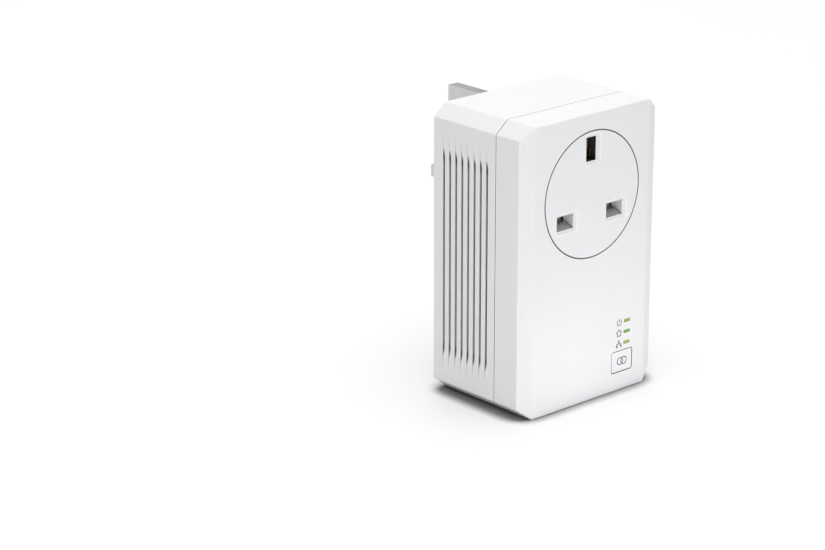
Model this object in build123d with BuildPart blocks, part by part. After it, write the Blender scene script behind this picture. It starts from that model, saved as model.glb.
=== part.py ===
from build123d import *
from math import cos, radians, sin
import os

# Mains powerline adapter with a pass-through socket. Millimetres.
# X runs to the right seen from the front, +Y runs into the wall, +Z is up.
# Origin: on the bottom face, in the middle of the footprint from front face to earth pin tip.

# ---- case ----
WIDTH = 61.0
HEIGHT = 97.5
DEPTH = 42.0
PLINTH_HEIGHT = 2.0  # raised base about the plug pins
EARTH_PIN_LENGTH = 22.73
FRONT = -(DEPTH + PLINTH_HEIGHT + EARTH_PIN_LENGTH) / 2
BACK = FRONT + DEPTH
PLUG_FACE = BACK + PLINTH_HEIGHT
WALL = 2.0
CLIP_X = 4.95  # corner clips, seen from the front
CLIP_Z = 4.1
BEVEL_DEPTH = 2.2  # how far the side bevels fall back from the front face
SEAM = FRONT + 12.6  # joint between front cover and rear case
SEAM_GAP = 0.3
EDGE_RADIUS = 0.45
BACK_EDGE_RADIUS = 0.9
TONGUE_CLEARANCE = 0.1
TONGUE_WALL = 1.1
TONGUE_REACH = 1.8
TONGUE_ROOT = 2.0
CUT = 1.0  # how far a cutting tool passes beyond the wall it opens
SAME = 0.01  # two depths closer than this are the same face

# ---- side vents ----
VENT_COUNT = 8
VENT_PITCH = 2.87
VENT_FIRST_Y = FRONT + 16.6
VENT_WIDTH = 1.05
VENT_LOW = 8.7
VENT_HIGH = 88.2
VENT_RUNOUT = [(0.0, 0.0), (4.5, 0.15), (7.0, 0.8), (9.0, WALL)]  # along the slot, depth

# ---- socket face ----
PIN_SPACING = 22.23  # earth row above the live and neutral row
PIN_HALF_SPREAD = 11.11
LINE_PLACES = (-PIN_HALF_SPREAD, PIN_HALF_SPREAD)
SOCKET_Z = 63.2
EARTH_Z = SOCKET_Z + PIN_SPACING
SLOT_W, SLOT_H = 7.4, 4.9
EARTH_W, EARTH_H = 4.4, 8.0
ENTRY_CHAMFER = 1.0
ENTRY_HALF_W = 16.0  # the apertures' edges all lie within this of the middle
ENTRY_LOW, ENTRY_HIGH = 50.0, 92.0
SLEEVE_WALL = 1.2
SLEEVE_BACK = FRONT + 5.6
LIP_BACK = FRONT + 1.15  # the front wall is relieved behind the apertures' lips
EARTH_RELIEF = 0.8
NOSE_REACH = 1.9
RING_Z = 70.6
RING_RADIUS = 21.07
RING_WIDTH = 0.55
RING_DEPTH = 0.25

# ---- shutter ----
SHUTTER_TRAVEL = 5.3
SHUTTER_HALF_WEDGE = 3.6
SHUTTER_FOOT_Z = 57.0
SHUTTER_BACK = FRONT + 8.3
RAMP_LOW = SOCKET_Z - SLOT_H / 2 - 0.1
RAMP_STEP = RAMP_LOW + 1.45
RAMP_HIGH = 66.2
RAMP_FRONT = FRONT + 1.3
RAMP_MIDDLE, RAMP_RESUME = FRONT + 4.3, FRONT + 6.4
RAMP_EDGE = 1.0  # thickness of the wedge's front edge
WEDGE_FOOT = 2.4
BRIDGE_BACK, BRIDGE_HEIGHT = 2.2, 4.0
SPRING_PAD_HALF, SPRING_PAD_HEIGHT = 2.6, 2.5
SPRING_Y = FRONT + 5.2
SPRING_SEAT_Z = 46.0
SPRING_SHELF_HALF, SPRING_SHELF, SPRING_SHELF_GAP = 3.0, 1.5, 0.4
SPRING_RADIUS = 1.7
SPRING_WIRE = 0.4
SPRING_TURNS = 8

# ---- socket insulator and contacts ----
INSULATOR_FRONT = SHUTTER_BACK + 0.3
INSULATOR_HALF_W = 17.5
INSULATOR_LOW, INSULATOR_STEP, INSULATOR_HIGH = 57.2, 70.0, 93.0
INSULATOR_BACK = FRONT + 19.6
TOWER_HALF_W = 6.5
TOWER_FRONT, TOWER_BACK = FRONT + WALL + 0.3, FRONT + 25.2
LINE_CELL_HALF_W, LINE_CELL_HALF_H = 3.9, 3.1
EARTH_CELL_HALF_W, EARTH_CELL_HALF_H = 3.4, 4.8
CONTACT_FRONT = INSULATOR_FRONT + 0.6
CONTACT_SHEET = 0.6
CONTACT_CLEARANCE = 0.08
CONTACT_FLARE, FLARE_LENGTH = 0.35, 1.6
LINE_CONTACT_HALF = 2.9
LINE_CONTACT_BACK = FRONT + 18.6
EARTH_CONTACT_HALF = 3.6
EARTH_JAW_FRONT, EARTH_LIP_FRONT = FRONT + 4.9, FRONT + 3.8
EARTH_LIP_Z = EARTH_Z - 1.1  # the jaws reach further forward below this height
EARTH_CONTACT_BACK = FRONT + 24.0

# ---- plug pins ----
PLUG_Z = 67.9
PLUG_EARTH_Z = PLUG_Z + PIN_SPACING
PIN_W, PIN_H, PIN_LENGTH = 6.35, 3.97, 17.7
EARTH_PIN_W, EARTH_PIN_H = 3.97, 7.95
PIN_TIP_RADIUS = 1.3
PLINTH_HALF_W = 20.5
PLINTH_LOW, PLINTH_HIGH = 56.0, 95.0
PLINTH_CORNER, PLINTH_EDGE = 5.0, 0.6
PIN_ROOT = BACK - 8.0
PIN_COLLAR = 0.8
COLLAR_EDGE = 1.0
PIN_CLEARANCE = 0.06
CARRIER_BACK = BACK - WALL - 0.1
CARRIER_HALF_W = 17.0
CARRIER_LOW, CARRIER_STEP, CARRIER_HIGH = 63.5, 72.5, 95.2

# ---- straps from the socket contacts to the plug pins ----
BUS_SHEET = 0.8
LINE_BUS_HALF, EARTH_BUS_HALF = 2.8, 1.9
LINE_BUS_HEIGHTS = (61.0, 65.2, 69.6)  # at the contact, along the run, at the pin
EARTH_BUS_HEIGHTS = (82.0, 88.0, 93.0)

# ---- light windows and button ----
LED_X = 17.45
LED_TOP_Z = 23.8
LED_PITCH = 3.77
LED_W, LED_H = 2.9, 1.2
LED_ROWS = [LED_TOP_Z - i * LED_PITCH for i in range(3)]
LED_CLEARANCE = 0.05
PIPE_BAR_EDGE, PIPE_BAR_ENDS, PIPE_BAR = 0.4, 0.9, 1.05
PIPE_GAP = 0.2  # between the light pipe and the lights behind it
LED_BODY_W, LED_BODY_H, LED_BODY = 2.0, 1.2, 0.7
BUTTON_X, BUTTON_Z = 15.45, 10.1
BUTTON_W, BUTTON_H = 9.3, 7.2
BUTTON_CORNER = 0.7
BUTTON_GAP = 0.28
BUTTON_EDGE_RADIUS = 0.2
BUTTON_FLANGE, FLANGE_THICKNESS = 0.9, 1.0
BUTTON_SEAT = FRONT + WALL + 0.1
BUTTON_STEM_RADIUS = 1.6
PLUNGER_TOP = FRONT + 3.7
PLUNGER_GAP = 0.1  # between the button's stem and the switch
PLUNGER_RADIUS, PLUNGER_LENGTH = 1.65, 3.2
SWITCH_TOP = FRONT + 4.9
SWITCH_HALF, SWITCH_BORE, SWITCH_FLOOR = 3.0, 1.85, 0.5
SWITCH_COVER = 0.3

# ---- boards ----
MAIN_FRONT, MAIN_BACK = FRONT + 8.0, FRONT + 9.6
MAIN_HALF_W = 27.0
MAIN_LOW, MAIN_HIGH = 2.6, 50.0
BOARD_CORNER = 2.2  # lower corners cut to clear the clipped case
BOSS_CLEARANCE = 0.4
POWER_FRONT, POWER_BACK = BACK - 6.2, BACK - 4.6
POWER_HALF_W = 26.8
POWER_LOW, POWER_HIGH = 3.0, 57.0
SHEET_FRONT, SHEET_THICKNESS = FRONT + 18.0, 0.3
SHEET_HALF_W = 26.0
SHEET_LOW, SHEET_HIGH = 23.0, 56.0
LINK_X = 12.4
LINK_WINDOW_HALF, LINK_WINDOW_HIGH = 2.7, 37.0
LINK_ROWS = [25.5 + 2.0 * i for i in range(5)]
LINK_HALF_W, LINK_ENDS, LINK_HEIGHT = 1.8, 1.2, 6.0
LINK_PIN_HALF, LINK_BORE_HALF, LINK_STAND_OFF = 0.3, 0.34, 0.1

# ---- network jack ----
JACK_HALF_W = 16.45
JACK_FRONT, JACK_BACK = MAIN_BACK, MAIN_BACK + 13.5
JACK_LOW, JACK_HIGH = 0.15, 21.4
JACK_GAP = 0.2
PORT_X = 8.3
PORT_W = 12.2
PORT_FRONT, PORT_SHOULDER = JACK_FRONT + 2.3, JACK_FRONT + 10.1
PORT_STEP, PORT_LATCH = JACK_FRONT + 11.9, JACK_FRONT + 13.15
PORT_STEP_W, PORT_LATCH_W = 6.8, 4.0
PORT_DEPTH = 15.0
REBATE_WIDTH, REBATE_DEPTH = 0.9, 0.35
WIRE_COUNT = 8
WIRE_PITCH = 1.02
WIRE_SIZE = 0.4
WIRE_ROOT = PORT_FRONT + 0.25
WIRE_FREE = PORT_FRONT + 2.6
WIRE_TOP, WIRE_BEND, WIRE_TIP = 13.8, 3.4, 12.2

# ---- parts on the main board ----
CHIP_EDGE = 0.25
CHIP_Z = 35.0
CHIP_THICKNESS = 1.4
PAD_FRONT = MAIN_BACK + CHIP_THICKNESS
PAD_HALF = 5.5
SINK_FRONT = PAD_FRONT + 0.5
SINK_HALF_W, SINK_HALF_H, SINK_BASE, SINK_HEIGHT = 8.5, 9.0, 1.5, 5.6
FIN_COUNT = 7
FIN_PITCH = 2.6
FIN_HALF = 0.45

# ---- parts on the power board ----
CORE_Z, CORE_HALF_W, CORE_HALF_H = 32.5, 9.0, 3.0
CORE_Y = (POWER_FRONT - 15.6, POWER_FRONT - 1.2)
CORE_LIMB, CORE_WINDOW, CORE_YOKE = 2.6, 6.4, 2.8
WINDING_HALF_W, WINDING_HALF_H, WINDING_CORNER = 6.2, 6.6, 2.5
WINDING_GAP = 0.2
BOBBIN_HALF_W, BOBBIN_HALF_H, BOBBIN_FOOT = 8.5, 7.0, 1.1
BULK_X, BULK_LOW, BULK_LENGTH, BULK_RADIUS = -19.4, 13.0, 21.0, 6.15
BULK_EDGE, BULK_LIFT = 0.6, 0.15
OUTPUT_X, OUTPUT_ROWS, OUTPUT_RADIUS, OUTPUT_HEIGHT = 19.5, (17.5, 27.5), 4.0, 12.0
BOX_HALF_W, BOX_LOW, BOX_HIGH, BOX_HEIGHT = 9.0, 43.5, 52.5, 11.8
BOX_CORNER = 0.8
FUSE_X, FUSE_Z, FUSE_RADIUS, FUSE_HEIGHT = -8.5, 8.5, 4.2, 7.6
CHOKE_X, CHOKE_Y, CHOKE_Z = 18.3, POWER_FRONT - 6.6, 47.6
CHOKE_OUTER, CHOKE_INNER = 7.0, 3.6
CHOKE_HALF = 3.0
CHOKE_TURNS = 11
CHOKE_START, CHOKE_SWEEP = -50.0, 280.0
CHOKE_WIRE = 0.5
CHOKE_WIRE_CORNER = 1.0
WIRE_GAP = 0.05  # between the wire and the core

# ---- screws ----
SCREW_X = 24.3
SCREW_ROWS = [7.5, 88.5]
BOSS_END = BACK - 15.0
BOSS_RADIUS = 2.7
REAR_BOSS_RADIUS = 3.6
BOSS_GAP = 0.2
HEAD_SEAT = BACK - 9.0
HEAD_RADIUS, HEAD_HEIGHT = 2.7, 2.0
HEAD_CLEARANCE, SHANK_CLEARANCE, THREAD_CLEARANCE = 0.3, 0.25, 0.05
SCREW_RADIUS, SCREW_LENGTH = 1.45, 14.0
PILOT_REACH = 3.0
CROSS_HALF_LENGTH, CROSS_HALF_WIDTH = 1.5, 0.35
SCREW_PLACES = [(x, z) for x in (-SCREW_X, SCREW_X) for z in SCREW_ROWS]


def facing_front(y):
    """Sketch plane at depth y, facing the front; its axes are X and Z."""
    return Plane.XZ.offset(-y)


def save(piece, node):
    """Label a finished piece and write it as its own STEP file."""
    piece.part.label = node
    export_step(piece.part, f"parts/{node}.step")


def block(x, y, z, mode=Mode.ADD):
    """Box between a low and a high limit along each axis."""
    limits = (x, y, z)
    with Locations(tuple((low + high) / 2 for low, high in limits)):
        Box(*(high - low for low, high in limits), mode=mode)


def around(middle, half):
    """Low and high limits of a span given by its middle and half width."""
    return middle - half, middle + half


def rod(x, z, y, radius, mode=Mode.ADD):
    """Cylinder along Y between two depths."""
    with Locations(Location((x, (y[0] + y[1]) / 2, z), (90, 0, 0))):
        Cylinder(radius, y[1] - y[0], mode=mode)


def case_outline(inset=0.0):
    """Case seen from the front: a rectangle with its corners clipped."""
    half = WIDTH / 2
    Polygon(
        (CLIP_X - half, 0),
        (half - CLIP_X, 0),
        (half, CLIP_Z),
        (half, HEIGHT - CLIP_Z),
        (half - CLIP_X, HEIGHT),
        (CLIP_X - half, HEIGHT),
        (-half, HEIGHT - CLIP_Z),
        (-half, CLIP_Z),
        align=None,
    )
    if inset:
        offset(amount=-inset, kind=Kind.INTERSECTION)


def case_plan(inset=0.0):
    """Case seen from above: the front face falls back along both sides."""
    half = WIDTH / 2
    Polygon(
        (CLIP_X - half, FRONT),
        (half - CLIP_X, FRONT),
        (half, FRONT + BEVEL_DEPTH),
        (half, BACK),
        (-half, BACK),
        (-half, FRONT + BEVEL_DEPTH),
        align=None,
    )
    if inset:
        offset(amount=-inset, kind=Kind.INTERSECTION)


def case_block(inset, low, high):
    """Solid of the case between two depths, inset evenly on all sides."""
    with BuildPart() as solid:
        with BuildSketch(facing_front(low)):
            case_outline(inset)
        extrude(amount=low - high)
        with BuildSketch(Plane.XY):
            case_plan(inset)
        extrude(amount=HEIGHT, mode=Mode.INTERSECT)
    return solid.part


os.makedirs("parts", exist_ok=True)

# ======== case ========

with BuildPart() as front_cover:
    add(case_block(0, FRONT, SEAM - SEAM_GAP / 2))
    fillet(front_cover.edges().filter_by(lambda e: e.center().Y < SEAM - SEAM_GAP), EDGE_RADIUS)
    add(case_block(WALL, FRONT + WALL, SEAM), mode=Mode.SUBTRACT)
    # socket apertures, with a chamfered lead-in on the front face
    with BuildSketch(facing_front(FRONT)):
        with Locations(*[(x, SOCKET_Z) for x in LINE_PLACES]):
            Rectangle(SLOT_W, SLOT_H)
        with Locations((0, EARTH_Z)):
            Rectangle(EARTH_W, EARTH_H)
    extrude(amount=-WALL, mode=Mode.SUBTRACT)
    rims = front_cover.edges().filter_by(lambda e: abs(e.center().Y - FRONT) < SAME)
    rims = rims.filter_by(lambda e: abs(e.center().X) < ENTRY_HALF_W)
    chamfer(rims.filter_by(lambda e: ENTRY_LOW < e.center().Z < ENTRY_HIGH), ENTRY_CHAMFER)
    # round line moulded about the apertures
    with BuildSketch(facing_front(FRONT)):
        with Locations((0, RING_Z)):
            Circle(RING_RADIUS + RING_WIDTH / 2)
            Circle(RING_RADIUS - RING_WIDTH / 2, mode=Mode.SUBTRACT)
    extrude(amount=-RING_DEPTH, mode=Mode.SUBTRACT)
    # sleeves behind the live and neutral apertures, open below for the shutter, whose
    # nose has a pocket in the wall; the earth aperture has a pocket all round
    slot_low = SOCKET_Z - SLOT_H / 2
    slot_high = SOCKET_Z + SLOT_H / 2
    sleeve = (FRONT + WALL, SLEEVE_BACK)
    for x in LINE_PLACES:
        outer_x = around(x, SLOT_W / 2 + SLEEVE_WALL)
        inner_x = around(x, SLOT_W / 2)
        block(outer_x, sleeve, (SHUTTER_FOOT_Z, slot_high + SLEEVE_WALL))
        block(inner_x, sleeve, (SHUTTER_FOOT_Z, slot_high), Mode.SUBTRACT)
        nose_z = (slot_low - SHUTTER_TRAVEL - NOSE_REACH, slot_low)
        block(inner_x, (LIP_BACK, FRONT + WALL), nose_z, Mode.SUBTRACT)
    relief_x = around(0, EARTH_W / 2 + EARTH_RELIEF)
    relief_z = around(EARTH_Z, EARTH_H / 2 + EARTH_RELIEF)
    block(relief_x, (LIP_BACK, FRONT + WALL), relief_z, Mode.SUBTRACT)
    # shelf under the shutter spring
    shelf_y = (FRONT + WALL, MAIN_FRONT - SPRING_SHELF_GAP)
    shelf_z = (SPRING_SEAT_Z - SPRING_SHELF, SPRING_SEAT_Z)
    block(around(0, SPRING_SHELF_HALF), shelf_y, shelf_z)
    # windows for the lights and opening for the button
    with BuildSketch(facing_front(FRONT)):
        with Locations(*[(LED_X, z) for z in LED_ROWS]):
            Rectangle(LED_W, LED_H)
        with Locations((BUTTON_X, BUTTON_Z)):
            wide = BUTTON_W + 2 * BUTTON_GAP
            RectangleRounded(wide, BUTTON_H + 2 * BUTTON_GAP, BUTTON_CORNER + BUTTON_GAP)
    extrude(amount=-WALL, mode=Mode.SUBTRACT)
    # screw bosses
    pilot = (HEAD_SEAT - SCREW_LENGTH - PILOT_REACH, BOSS_END)
    for x, z in SCREW_PLACES:
        rod(x, z, (FRONT + WALL, BOSS_END), BOSS_RADIUS)
        rod(x, z, pilot, SCREW_RADIUS + THREAD_CLEARANCE, Mode.SUBTRACT)
    # opening for the network jack, which crosses the seam
    jack_x = around(0, JACK_HALF_W + JACK_GAP)
    block(jack_x, (JACK_FRONT - JACK_GAP, SEAM), (-CUT, WALL + SAME), Mode.SUBTRACT)
save(front_cover, "front_cover")

with BuildPart() as rear_case:
    add(case_block(0, SEAM + SEAM_GAP / 2, BACK))
    fillet(rear_case.edges().filter_by(Axis.Y), EDGE_RADIUS)
    fillet(rear_case.edges().filter_by(lambda e: e.center().Y > BACK - SAME), BACK_EDGE_RADIUS)
    # tongue that reaches inside the front cover
    tongue = (SEAM - TONGUE_REACH, SEAM + TONGUE_ROOT)
    tongue_inset = WALL + TONGUE_CLEARANCE
    add(case_block(tongue_inset, *tongue))
    add(case_block(tongue_inset + TONGUE_WALL, *tongue), mode=Mode.SUBTRACT)
    add(case_block(WALL, SEAM + TONGUE_ROOT, BACK - WALL), mode=Mode.SUBTRACT)
    # raised base about the plug pins
    with BuildSketch(facing_front(BACK - WALL / 2)):
        with Locations((0, (PLINTH_LOW + PLINTH_HIGH) / 2)):
            RectangleRounded(2 * PLINTH_HALF_W, PLINTH_HIGH - PLINTH_LOW, PLINTH_CORNER)
    extrude(amount=-(WALL / 2 + PLINTH_HEIGHT))
    plinth_rim = rear_case.edges().filter_by(lambda e: e.center().Y > PLUG_FACE - SAME)
    fillet(plinth_rim, PLINTH_EDGE)
    # pin holes
    with BuildSketch(facing_front(BACK - WALL)):
        with Locations(*[(x, PLUG_Z) for x in LINE_PLACES]):
            Rectangle(PIN_W + 2 * PIN_CLEARANCE, PIN_H + 2 * PIN_CLEARANCE)
        with Locations((0, PLUG_EARTH_Z)):
            Rectangle(EARTH_PIN_W + 2 * PIN_CLEARANCE, EARTH_PIN_H + 2 * PIN_CLEARANCE)
    extrude(amount=-(WALL + PLINTH_HEIGHT), mode=Mode.SUBTRACT)
    # screw bosses with deep head wells
    for x, z in SCREW_PLACES:
        rod(x, z, (BOSS_END + BOSS_GAP, BACK - WALL / 2), REAR_BOSS_RADIUS)
        rod(x, z, (BOSS_END, HEAD_SEAT), SCREW_RADIUS + SHANK_CLEARANCE, Mode.SUBTRACT)
        rod(x, z, (HEAD_SEAT, BACK + CUT), HEAD_RADIUS + HEAD_CLEARANCE, Mode.SUBTRACT)
    # opening for the network jack
    jack_y = (SEAM - TONGUE_REACH - CUT, JACK_BACK + JACK_GAP)
    block(around(0, JACK_HALF_W + JACK_GAP), jack_y, (-CUT, WALL + TONGUE_ROOT), Mode.SUBTRACT)
    # side vents: long slots whose ends run out to the surface
    for side in (-1, 1):
        lower_end = [(side * (WIDTH / 2 - depth), VENT_LOW + along) for along, depth in VENT_RUNOUT]
        upper_end = [(side * (WIDTH / 2 - depth), VENT_HIGH - along) for along, depth in VENT_RUNOUT]
        outside = side * (WIDTH / 2 + CUT)
        inside = side * (WIDTH / 2 - WALL - CUT)
        slot = [(outside, VENT_LOW), *lower_end, (inside, lower_end[-1][1])]
        slot += [(inside, upper_end[-1][1]), *reversed(upper_end), (outside, VENT_HIGH)]
        for i in range(VENT_COUNT):
            with BuildSketch(facing_front(VENT_FIRST_Y + i * VENT_PITCH - VENT_WIDTH / 2)):
                Polygon(*slot, align=None)
            extrude(amount=-VENT_WIDTH, mode=Mode.SUBTRACT)
save(rear_case, "rear_case")

with BuildPart() as case_screws:
    head_top = HEAD_SEAT + HEAD_HEIGHT
    for x, z in SCREW_PLACES:
        rod(x, z, (HEAD_SEAT - SCREW_LENGTH, HEAD_SEAT + HEAD_HEIGHT / 2), SCREW_RADIUS)
        rod(x, z, (HEAD_SEAT, head_top), HEAD_RADIUS)
        recess = (HEAD_SEAT + HEAD_HEIGHT / 2, head_top + CUT)
        for half_x, half_z in (
            (CROSS_HALF_LENGTH, CROSS_HALF_WIDTH),
            (CROSS_HALF_WIDTH, CROSS_HALF_LENGTH),
        ):
            block(around(x, half_x), recess, around(z, half_z), Mode.SUBTRACT)
save(case_screws, "case_screws")

# ======== controls and lights ========

with BuildPart() as pair_button:
    with BuildSketch(facing_front(FRONT)):
        with Locations((BUTTON_X, BUTTON_Z)):
            RectangleRounded(BUTTON_W, BUTTON_H, BUTTON_CORNER)
    extrude(amount=FRONT - BUTTON_SEAT)
    face_rim = pair_button.edges().filter_by(lambda e: abs(e.center().Y - FRONT) < SAME)
    fillet(face_rim, BUTTON_EDGE_RADIUS)
    with BuildSketch(facing_front(BUTTON_SEAT)):
        with Locations((BUTTON_X, BUTTON_Z)):
            flange_w = BUTTON_W + 2 * BUTTON_FLANGE
            RectangleRounded(flange_w, BUTTON_H + 2 * BUTTON_FLANGE, BUTTON_CORNER)
    extrude(amount=-FLANGE_THICKNESS)
    rod(BUTTON_X, BUTTON_Z, (BUTTON_SEAT, PLUNGER_TOP - PLUNGER_GAP), BUTTON_STEM_RADIUS)
save(pair_button, "pair_button")

with BuildPart() as led_light_pipe:
    window_y = (FRONT + LED_CLEARANCE, MAIN_FRONT - LED_BODY - PIPE_GAP)
    for z in LED_ROWS:
        window_z = around(z, LED_H / 2 - LED_CLEARANCE)
        block(around(LED_X, LED_W / 2 - LED_CLEARANCE), window_y, window_z)
    bar_y = (FRONT + WALL + LED_CLEARANCE, FRONT + WALL + LED_CLEARANCE + PIPE_BAR)
    bar_z = (LED_ROWS[-1] - PIPE_BAR_ENDS, LED_ROWS[0] + PIPE_BAR_ENDS)
    block(around(LED_X, LED_W / 2 + PIPE_BAR_EDGE), bar_y, bar_z)
save(led_light_pipe, "led_light_pipe")

with BuildPart() as status_leds:
    for z in LED_ROWS:
        led_y = (MAIN_FRONT - LED_BODY, MAIN_FRONT)
        block(around(LED_X, LED_BODY_W / 2), led_y, around(z, LED_BODY_H / 2))
save(status_leds, "status_leds")

with BuildPart() as switch_base:
    switch_x, switch_z = around(BUTTON_X, SWITCH_HALF), around(BUTTON_Z, SWITCH_HALF)
    block(switch_x, (SWITCH_TOP, MAIN_FRONT), switch_z)
    switch_bore = (SWITCH_TOP - CUT, MAIN_FRONT - SWITCH_FLOOR)
    rod(BUTTON_X, BUTTON_Z, switch_bore, SWITCH_BORE, Mode.SUBTRACT)
save(switch_base, "switch_base")

with BuildPart() as switch_cover:
    block(switch_x, (SWITCH_TOP - SWITCH_COVER, SWITCH_TOP), switch_z)
    rod(BUTTON_X, BUTTON_Z, around(SWITCH_TOP, CUT), SWITCH_BORE, Mode.SUBTRACT)
save(switch_cover, "switch_cover")

with BuildPart() as switch_plunger:
    rod(BUTTON_X, BUTTON_Z, (PLUNGER_TOP, PLUNGER_TOP + PLUNGER_LENGTH), PLUNGER_RADIUS)
save(switch_plunger, "switch_plunger")

# ======== socket ========

with BuildPart() as socket_shutter:
    for x in LINE_PLACES:
        with BuildSketch(Plane.YZ.offset(x - SHUTTER_HALF_WEDGE)):
            Polygon(
                (RAMP_FRONT, RAMP_LOW),
                (RAMP_MIDDLE, RAMP_STEP),
                (RAMP_RESUME, RAMP_STEP),
                (SHUTTER_BACK, RAMP_HIGH),
                (SHUTTER_BACK, SHUTTER_FOOT_Z),
                (SHUTTER_BACK - WEDGE_FOOT, SHUTTER_FOOT_Z),
                (RAMP_FRONT, RAMP_LOW - RAMP_EDGE),
                align=None,
            )
        extrude(amount=2 * SHUTTER_HALF_WEDGE)
    bridge_x = around(0, PIN_HALF_SPREAD + SHUTTER_HALF_WEDGE)
    bridge_z = (SHUTTER_FOOT_Z, SHUTTER_FOOT_Z + BRIDGE_HEIGHT)
    block(bridge_x, (SHUTTER_BACK - BRIDGE_BACK, SHUTTER_BACK), bridge_z)
    pad_y = (SPRING_Y - SPRING_RADIUS - SPRING_WIRE, SHUTTER_BACK)
    pad_z = (SHUTTER_FOOT_Z, SHUTTER_FOOT_Z + SPRING_PAD_HEIGHT)
    block(around(0, SPRING_PAD_HALF), pad_y, pad_z)
save(socket_shutter, "socket_shutter")

with BuildPart() as shutter_spring:
    height = SHUTTER_FOOT_Z - SPRING_SEAT_Z - SPRING_WIRE
    coil = Helix(
        pitch=height / SPRING_TURNS,
        height=height,
        radius=SPRING_RADIUS,
        center=(0, SPRING_Y, SPRING_SEAT_Z + SPRING_WIRE / 2),
        mode=Mode.PRIVATE,
    )
    with BuildSketch(Plane(origin=coil @ 0, z_dir=coil % 0)):
        Circle(SPRING_WIRE / 2)
    sweep(path=coil, is_frenet=True)
save(shutter_spring, "shutter_spring")

with BuildPart() as socket_insulator:
    line_y = (INSULATOR_FRONT, INSULATOR_BACK)
    block(around(0, INSULATOR_HALF_W), line_y, (INSULATOR_LOW, INSULATOR_STEP))
    tower_z = (INSULATOR_STEP, INSULATOR_HIGH)
    block(around(0, TOWER_HALF_W), (TOWER_FRONT, TOWER_BACK), tower_z)
    for x in LINE_PLACES:
        cell_z = around(SOCKET_Z, LINE_CELL_HALF_H)
        block(around(x, LINE_CELL_HALF_W), (FRONT, BACK), cell_z, Mode.SUBTRACT)
    cell_z = around(EARTH_Z, EARTH_CELL_HALF_H)
    block(around(0, EARTH_CELL_HALF_W), (FRONT, BACK), cell_z, Mode.SUBTRACT)
save(socket_insulator, "socket_insulator")


def line_contact(x):
    """Two brass jaws, one above and one below the pin, joined at the back."""
    gap = PIN_H / 2 + CONTACT_CLEARANCE
    outer = gap + CONTACT_SHEET
    with BuildPart() as contact:
        with BuildSketch(Plane.YZ.offset(x - LINE_CONTACT_HALF)):
            for side in (-1, 1):
                Polygon(
                    (CONTACT_FRONT, SOCKET_Z + side * (gap + CONTACT_FLARE)),
                    (CONTACT_FRONT + FLARE_LENGTH, SOCKET_Z + side * gap),
                    (LINE_CONTACT_BACK, SOCKET_Z + side * gap),
                    (LINE_CONTACT_BACK, SOCKET_Z + side * outer),
                    (CONTACT_FRONT + FLARE_LENGTH, SOCKET_Z + side * outer),
                    (CONTACT_FRONT, SOCKET_Z + side * (outer + CONTACT_FLARE)),
                    align=None,
                )
        extrude(amount=2 * LINE_CONTACT_HALF)
        base = (LINE_CONTACT_BACK - CONTACT_SHEET, LINE_CONTACT_BACK)
        block(around(x, LINE_CONTACT_HALF), base, around(SOCKET_Z, outer))
    return contact


save(line_contact(PIN_HALF_SPREAD), "live_socket_contact")
save(line_contact(-PIN_HALF_SPREAD), "neutral_socket_contact")

with BuildPart() as earth_socket_contact:
    earth_gap = EARTH_PIN_W / 2 + CONTACT_CLEARANCE
    earth_low, earth_high = around(EARTH_Z, EARTH_CONTACT_HALF)
    for side in (-1, 1):
        jaw = sorted((side * earth_gap, side * (earth_gap + CONTACT_SHEET)))
        block(jaw, (EARTH_JAW_FRONT, EARTH_CONTACT_BACK), (earth_low, earth_high))
        block(jaw, (EARTH_LIP_FRONT, EARTH_JAW_FRONT), (earth_low, EARTH_LIP_Z))
    base = (EARTH_CONTACT_BACK - CONTACT_SHEET, EARTH_CONTACT_BACK)
    block(around(0, earth_gap + CONTACT_SHEET), base, (earth_low, earth_high))
save(earth_socket_contact, "earth_socket_contact")

# ======== plug ========


def plug_pin(x, z, width, height, length):
    """Solid pin with a rounded tip and a collar that the carrier holds."""
    with BuildPart() as pin:
        block(around(x, width / 2), (PIN_ROOT, PLUG_FACE + length), around(z, height / 2))
        tip = pin.faces().sort_by(Axis.Y)[-1]
        fillet(tip.edges(), PIN_TIP_RADIUS)
        collar = (PIN_ROOT, PIN_ROOT + PIN_COLLAR)
        block(around(x, width / 2 + COLLAR_EDGE), collar, around(z, height / 2 + COLLAR_EDGE))
    return pin


save(plug_pin(PIN_HALF_SPREAD, PLUG_Z, PIN_W, PIN_H, PIN_LENGTH), "live_pin")
save(plug_pin(-PIN_HALF_SPREAD, PLUG_Z, PIN_W, PIN_H, PIN_LENGTH), "neutral_pin")
save(plug_pin(0, PLUG_EARTH_Z, EARTH_PIN_W, EARTH_PIN_H, EARTH_PIN_LENGTH), "earth_pin")

with BuildPart() as pin_carrier:
    carrier_y = (PIN_ROOT + PIN_COLLAR, CARRIER_BACK)
    block(around(0, CARRIER_HALF_W), carrier_y, (CARRIER_LOW, CARRIER_STEP))
    block(around(0, TOWER_HALF_W), carrier_y, (CARRIER_STEP, CARRIER_HIGH))
    for x in LINE_PLACES:
        bore_x = around(x, PIN_W / 2 + PIN_CLEARANCE)
        bore_z = around(PLUG_Z, PIN_H / 2 + PIN_CLEARANCE)
        block(bore_x, (PIN_ROOT, PLUG_FACE), bore_z, Mode.SUBTRACT)
    bore_x = around(0, EARTH_PIN_W / 2 + PIN_CLEARANCE)
    bore_z = around(PLUG_EARTH_Z, EARTH_PIN_H / 2 + PIN_CLEARANCE)
    block(bore_x, (PIN_ROOT, PLUG_FACE), bore_z, Mode.SUBTRACT)
save(pin_carrier, "pin_carrier")


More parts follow.
